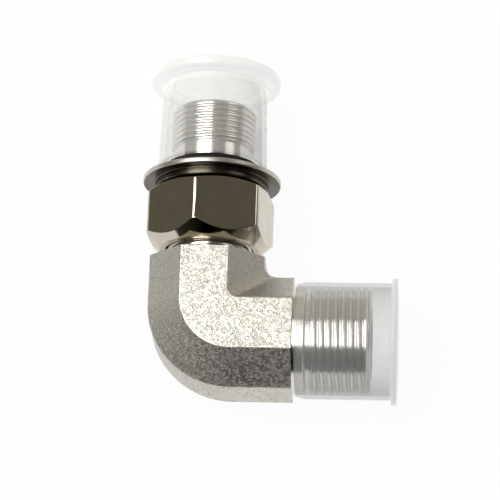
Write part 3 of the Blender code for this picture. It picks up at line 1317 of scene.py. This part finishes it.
@dataclass
class StudCap:
    """The milky cap on the stud: a tapered skirt under a thick rounded flange."""

    layout: Layout
    wall: float = 0.0016
    taper: float = math.radians(1.9)
    mouth_radius: float = 0.01554
    flange_thickness: float = 0.0039
    flange_round: float = 0.0014
    end_thickness: float = 0.0022
    corner: float = 0.0010
    root_round: float = 0.0008
    mouth_round: float = 0.0005
    inner_round: float = 0.0004
    plastic: PlasticFinish = PlasticFinish(
        name="milky_plastic_finish",
        colour=(0.88, 0.89, 0.87),
        thick_colour=(0.29, 0.295, 0.275),
        cover=0.10,
        edge_cover=0.50,
        thick_cover=0.94,
        thick_painted_glow=0.61,
        fade=0.0030,
    )

    def build(self) -> bpy.types.Object:
        """Moulds the cap and hands it over.

        Returns:
            The finished cap.
        """
        mouth, end = self.layout.span("stud_cap", Leg.STUD)
        flange = self.layout.radius("stud_cap", Leg.STUD)
        slope = math.tan(self.taper)
        flange_foot = end - self.flange_thickness
        ceiling = end - self.end_thickness
        inside, outside = self.mouth_radius, self.mouth_radius + self.wall
        section = filleted(
            [
                (0, end, 0),
                (flange, end, self.flange_round),
                (flange, flange_foot, self.flange_round),
                (outside - (flange_foot - mouth) * slope, flange_foot, self.root_round),
                (outside, mouth, self.mouth_round),
                (inside, mouth, self.inner_round),
                (inside - (ceiling - mouth) * slope, ceiling, self.corner),
                (0, ceiling, 0),
            ],
            closed=False,
        )
        plastic = self.plastic.material(Leg.STUD, self.layout.side_axis_y + flange_foot)
        cap = Workshop.solid("milky_cap", revolve(section), self.layout.matrix(Leg.STUD), plastic)
        return Workshop.hand_over(cap, "cap_on_stud", "stud_cap", "milky_plastic")


@dataclass
class SideCap:
    """The clearer cap on the side leg: a straight skirt with a thin flange and a thin lip."""

    layout: Layout
    wall: float = 0.0012
    bore: float = 0.016925
    end_thickness: float = 0.0017
    flange_round: float = 0.0005
    lip: float = 0.0005
    lip_length: float = 0.0030
    corner: float = 0.0008
    root_round: float = 0.0004
    shoulder_round: float = 0.0010
    mouth_round: float = 0.0002
    plastic: PlasticFinish = PlasticFinish(
        name="clear_plastic_finish",
        colour=(0.58, 0.59, 0.59),
        thick_colour=(0.52, 0.53, 0.53),
        cover=0.13,
        edge_cover=0.46,
        thick_cover=0.55,
        thick_painted_glow=0.22,
        fade=0.0006,
    )

    def build(self) -> bpy.types.Object:
        """Moulds the cap and hands it over.

        Returns:
            The finished cap.
        """
        mouth, end = self.layout.span("side_cap", Leg.SIDE)
        flange = self.layout.radius("side_cap", Leg.SIDE)
        ceiling = end - self.end_thickness
        outside = self.bore + self.wall
        section = filleted(
            [
                (0, end, 0),
                (flange, end, self.flange_round),
                (flange, ceiling, self.flange_round),
                (outside, ceiling, self.root_round),
                (outside, mouth + self.lip_length, self.shoulder_round),
                (self.bore + self.lip, mouth, self.mouth_round),
                (self.bore, mouth, self.mouth_round),
                (self.bore, ceiling, self.corner),
                (0, ceiling, 0),
            ],
            closed=False,
        )
        plastic = self.plastic.material(Leg.SIDE, self.layout.stud_axis_x + ceiling)
        cap = Workshop.solid("clear_cap", revolve(section), self.layout.matrix(Leg.SIDE), plastic)
        return Workshop.hand_over(cap, "cap_on_side", "side_cap", "clear_plastic")


@dataclass(frozen=True)
class SoftBox:
    """A rectangular lamp that faces the object: its place from the crossing in metres, its power in watts."""

    name: str
    place: tuple[float, float, float]
    size: Point
    power: float


@dataclass
class Studio:
    """The floor, the lights, the surroundings and the camera."""

    layout: Layout
    azimuth: float = math.radians(3.75)
    tilt: float = math.radians(19.32)
    roll: float = math.radians(2.064)
    distance: float = 1.1
    lens: float = 255.0
    aside: float = 0.01369
    above: float = 0.02765
    floor_gap: float = 0.0003
    floor_size: float = 2.4
    floor_colour: Colour = (0.86, 0.86, 0.86)
    floor_roughness: float = 0.9
    floor_glow: float = 0.95
    sensor: float = 36.0
    nearest: float = 0.01
    farthest: float = 50.0
    room_colour: Colour = (1.0, 0.93, 0.74)
    room_level: float = 0.080
    room_rise: float = 0.09
    room_sides: float = 0.04
    far_edge: float = 0.45
    far_width: float = 0.25
    far_level: float = 0.28
    boxes: tuple[SoftBox, ...] = (
        SoftBox("overhead_box", (-0.80, -0.08, 2.0), (2.3, 1.6), 54.0),
        SoftBox("right_box", (1.55, 0.66, 1.12), (0.55, 0.9), 2.0),
    )

    def camera(self) -> None:
        """Puts the camera where the photograph was taken from."""
        out = Vector((
            math.sin(self.azimuth) * math.cos(self.tilt),
            -math.sin(self.tilt),
            math.cos(self.azimuth) * math.cos(self.tilt),
        ))
        level = Vector((0, 1, 0)).cross(out).normalized()
        upright = out.cross(level)
        right = math.cos(self.roll) * level + math.sin(self.roll) * upright
        up = math.cos(self.roll) * upright - math.sin(self.roll) * level
        place = self.layout.crossing + self.distance * out + self.aside * right + self.above * up
        data = bpy.data.cameras.new("camera")
        data.sensor_width = self.sensor
        data.lens = self.lens
        data.clip_start = self.nearest
        data.clip_end = self.farthest
        camera = bpy.data.objects.new("camera", data)
        camera.matrix_world = Matrix((
            (right.x, up.x, out.x, place.x),
            (right.y, up.y, out.y, place.y),
            (right.z, up.z, out.z, place.z),
            (0, 0, 0, 1),
        ))
        bpy.context.scene.collection.objects.link(camera)
        bpy.context.scene.camera = camera

    def floor(self) -> None:
        """A wide pale floor, which keeps the object's shadow."""
        bm = bmesh.new()
        bmesh.ops.create_grid(bm, x_segments=1, y_segments=1, size=self.floor_size / 2)
        bmesh.ops.translate(bm, verts=bm.verts[:], vec=(0, 0, -self.floor_gap))
        surface = Surface("pale_floor")
        surface.set(
            Base_Color=(*self.floor_colour, 1.0), Roughness=self.floor_roughness, Specular_IOR_Level=0.0
        )
        glow = surface.node("ShaderNodeEmission", {}, {"Color": (*WHITE, 1.0), "Strength": 1.0})
        seen = surface.seen("Is Camera Ray", "Is Glossy Ray", "Is Transmission Ray")
        lit = Socket(surface.tree, surface.shader.outputs[0])
        output = surface.tree.nodes["Material Output"]
        surface.feed(output.inputs["Surface"], surface.blend(seen * self.floor_glow, lit, glow))
        Workshop.solid("floor", bm, Matrix.Identity(4), surface.material)

    def lamp(self, box: SoftBox) -> None:
        """Hangs a soft box and turns it to the object.

        Args:
            box: the lamp.
        """
        place = Vector(box.place)
        data = bpy.data.lights.new(box.name, "AREA")
        data.shape = "RECTANGLE"
        data.size, data.size_y = box.size
        data.energy = box.power
        lamp = bpy.data.objects.new(box.name, data)
        lamp.location = self.layout.crossing + place
        lamp.rotation_mode = "QUATERNION"
        lamp.rotation_quaternion = (-place).to_track_quat("-Z", "Y")
        lamp.visible_camera = False
        bpy.context.scene.collection.objects.link(lamp)

    def surroundings(self) -> None:
        """A dim warm room, darkest towards -Y and brightest at the far end of +Y; the camera sees white."""
        world = bpy.data.worlds.new("room")
        world.use_nodes = True
        nodes = Nodes(world.node_tree)
        nodes.tree.nodes.clear()
        direction = nodes.node("ShaderNodeTexCoord", {}, {}, "Generated")
        away = nodes.split(direction, "Y")
        aside = abs(nodes.split(direction, "X"))
        level = self.room_level + away * self.room_rise + aside * self.room_sides
        level = level + away.above(self.far_edge, self.far_width) * self.far_level
        room = nodes.node("ShaderNodeBackground", {}, {"Color": (*self.room_colour, 1.0), "Strength": level})
        white = nodes.node("ShaderNodeBackground", {}, {"Color": (*WHITE, 1.0), "Strength": 1.0})
        output = nodes.tree.nodes.new("ShaderNodeOutputWorld")
        nodes.feed(output.inputs["Surface"], nodes.blend(nodes.seen("Is Camera Ray"), room, white))
        bpy.context.scene.world = world

    def build(self) -> None:
        """Sets the whole studio up."""
        bpy.context.scene.view_settings.view_transform = "Standard"
        self.camera()
        self.floor()
        self.surroundings()
        for box in self.boxes:
            self.lamp(box)


def main() -> None:
    """Builds every piece in order, reports it, and then sets up the studio."""
    logging.basicConfig(level=logging.INFO, format="%(name)s: %(message)s")
    layout = Layout()
    for part in (Elbow, LockNut, RetainingWasher, SealRing, StudCap, SideCap):
        piece = part(layout).build()
        log.info("%s: %d faces", piece.name, len(piece.data.polygons))
    Studio(layout).build()


if __name__ == "__main__":
    main()
